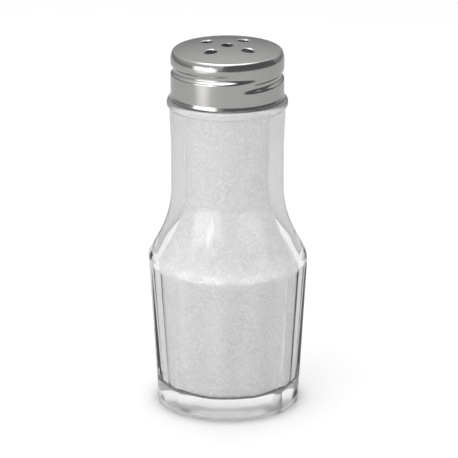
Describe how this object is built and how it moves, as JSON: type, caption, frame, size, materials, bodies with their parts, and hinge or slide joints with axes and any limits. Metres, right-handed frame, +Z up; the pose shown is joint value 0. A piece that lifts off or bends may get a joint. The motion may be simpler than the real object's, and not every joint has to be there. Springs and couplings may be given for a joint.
{
  "type": "salt shaker",
  "caption": "Table salt shaker: panelled glass jar with a waisted neck, filled with salt and closed by a threaded metal screw cap with pouring holes.",
  "frame": {"origin": "centre of the ring that the jar stands on, on the table", "axes": "+Z up along the jar's axis, -Y towards the camera of the picture, +X to its right"},
  "size_m": [0.045, 0.045, 0.1047],
  "materials": {
    "glass": "clear pressed soda-lime glass, fire-polished",
    "salt": "loose white table salt",
    "steel": "stamped stainless steel sheet, polished"
  },
  "bodies": {
    "jar": {"glass_jar": "glass"},
    "salt": {"salt_fill": "salt"},
    "cap": {"screw_cap": "steel"}
  },
  "joints": [
    {"name": "cap_turn", "type": "hinge", "parent": "jar", "child": "salt", "pos_m": [0, 0, 0], "axis": [0, 0, 1], "range_deg": [0, 480]},
    {"name": "cap_rise", "type": "slide", "parent": "salt", "child": "cap", "axis": [0, 0, 1], "range_m": [0, 0.00401]}
  ],
  "couplings": [
    {"joint": "cap_rise", "follows": "cap_turn", "m_per_rad": 0.00047746}
  ]
}
